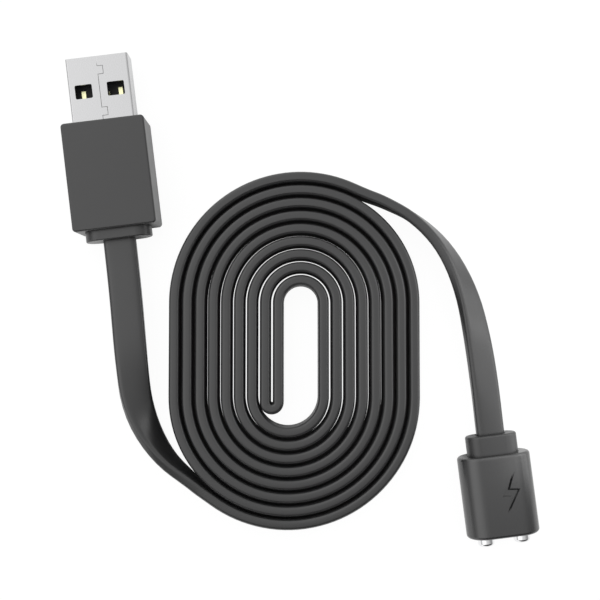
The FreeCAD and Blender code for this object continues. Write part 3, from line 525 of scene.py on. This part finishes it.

# Ramps: where each starts and ends, and its value at the start and at the end

# Ramp of painted shade on the floor as mirrors see it, from how open each place is
FLOOR_PAINTED_SHADE = (0.2, 0.6, 0.02, 1.0)
SKY_LEFT = (0.2, -0.55, 0.9, 1.55)
SKY_RIGHT_DROP = (0.4, 1.0, 0.0, -0.4)
SKY_LEFT_DROP = (-0.72, -0.98, 0.0, -1.2)
SKY_FRONT = (-0.53, -0.15, 0.06, 1.0)
SKYLINE = (0.36, 0.2, 0.0, 0.85)

# Soft boxes: place and aim in the picture's axes, size across and along, radiance

SOFT_BOXES = {
    "right_box": ((0.084, 0.0, 0.021), (0.03, -0.01, 0.008), 0.08, 0.038, 1.3),
    "upper_box": ((0.0715, 0.001, 0.038), (0.0715, 0.001, 0), 0.058, 0.075, 0.95),
}


def floor_material():
    """White floor that keeps a faint shadow where the camera sees it.

    Mirrors see it white in the open, with painted shade where something stands close by.
    """
    made, tree, shader = new_material("white_floor")
    tree.nodes.remove(shader)
    path = tree.nodes.new("ShaderNodeLightPath")
    paint = add(tree, "BsdfDiffuse", Color=FLOOR_PAINT)
    white = add(tree, "Emission", Color=(1, 1, 1, 1))
    # Painted shade: the floor's white as mirrors see it is dimmed by ambient occlusion from nearby things
    painted_shade_occlusion = add(tree, "AmbientOcclusion", Distance=PAINTED_SHADE_REACH)
    painted_shade_occlusion.samples = PAINTED_SHADE_SAMPLES
    painted_shade_level = eased(tree, painted_shade_occlusion.outputs["AO"], *FLOOR_PAINTED_SHADE)
    mirrored_white_with_painted_shade = maths(tree, "MULTIPLY", path.outputs["Is Glossy Ray"], painted_shade_level)
    seen = maths(tree, "MULTIPLY", path.outputs["Is Camera Ray"], FLOOR_SEEN)
    tree.links.new(maths(tree, "ADD", seen, mirrored_white_with_painted_shade), white.inputs["Strength"])
    mix = tree.nodes.new("ShaderNodeMixShader")
    share = maths(tree, "MULTIPLY", path.outputs["Is Camera Ray"], FLOOR_SEEN_SHARE)
    tree.links.new(maths(tree, "ADD", share, path.outputs["Is Glossy Ray"]), mix.inputs[0])
    tree.links.new(paint.outputs[0], mix.inputs[1])
    tree.links.new(white.outputs[0], mix.inputs[2])
    tree.links.new(mix.outputs[0], tree.nodes["Material Output"].inputs["Surface"])
    return made


def make_floor():
    """Flat square grid under the object."""
    side = np.linspace(-FLOOR_SIDE / 2, FLOOR_SIDE / 2, 3)
    x, y = np.meshgrid(side, side)
    corner = np.array([0, 1, 3, 4])
    faces = np.stack([corner, corner + 1, corner + 4, corner + 3], axis=1)
    mesh = bpy.data.meshes.new("floor")
    mesh.from_pydata(np.stack([x, y, np.full_like(x, FLOOR_LEVEL)], axis=-1).reshape(-1, 3).tolist(), [],
                     faces.tolist())
    mesh.materials.append(floor_material())
    floor = bpy.data.objects.new("floor", mesh)
    bpy.context.scene.collection.objects.link(floor)


def share_along(tree, vector, way):
    """Share of a vector that points one way, given in the picture's axes."""
    made = tree.nodes.new("ShaderNodeVectorMath")
    made.operation = "DOT_PRODUCT"
    tree.links.new(vector, made.inputs[0])
    made.inputs[1].default_value = PICTURE_TURN @ Vector(way)
    return made.outputs["Value"]


def make_soft_box(name, place, aim, across, along, radiance):
    """Rectangular soft box of an even radiance: its power is pi times radiance times area."""
    data = bpy.data.lights.new(name, "AREA")
    data.shape = "RECTANGLE"
    data.size = across
    data.size_y = along
    data.energy = radiance * math.pi * across * along
    lamp = bpy.data.objects.new(name, data)
    bpy.context.scene.collection.objects.link(lamp)
    lamp.location = PICTURE_TURN @ Vector(place)
    lamp.rotation_mode = "QUATERNION"
    facing = PICTURE_TURN @ (Vector(aim) - Vector(place))
    lamp.rotation_quaternion = facing.to_track_quat("-Z", "Y")


def make_world():
    """Studio sky: even overhead, brighter on the left, dark in front above a light skyline.

    The camera itself sees it white.
    """
    world = bpy.data.worlds.new("studio")
    bpy.context.scene.world = world
    world.use_nodes = True
    tree = world.node_tree
    way = tree.nodes.new("ShaderNodeTexCoord").outputs["Generated"]
    across = share_along(tree, way, RIGHTWARDS)
    left = eased(tree, across, *SKY_LEFT)
    right = eased(tree, across, *SKY_RIGHT_DROP)
    faded = eased(tree, across, *SKY_LEFT_DROP)
    front = eased(tree, share_along(tree, way, BACKWARDS), *SKY_FRONT)
    skyline = eased(tree, share_along(tree, way, UPWARDS), *SKYLINE)
    sky = maths(tree, "ADD", maths(tree, "ADD", left, right), faded)
    lit = maths(tree, "MULTIPLY", sky, maths(tree, "MAXIMUM", front, skyline))
    camera = tree.nodes.new("ShaderNodeLightPath").outputs["Is Camera Ray"]
    back = tree.nodes["Background"]
    back.inputs["Color"].default_value = (1, 1, 1, 1)
    tree.links.new(maths(tree, "MAXIMUM", lit, camera), back.inputs["Strength"])


bpy.context.scene.view_settings.view_transform = "Standard"
make_camera()
flat_cord = make_cord()
flat_cord.data.materials.append(cord_jacket())
dress_parts()
make_floor()
make_world()
for box_name, box in SOFT_BOXES.items():
    make_soft_box(box_name, *box)
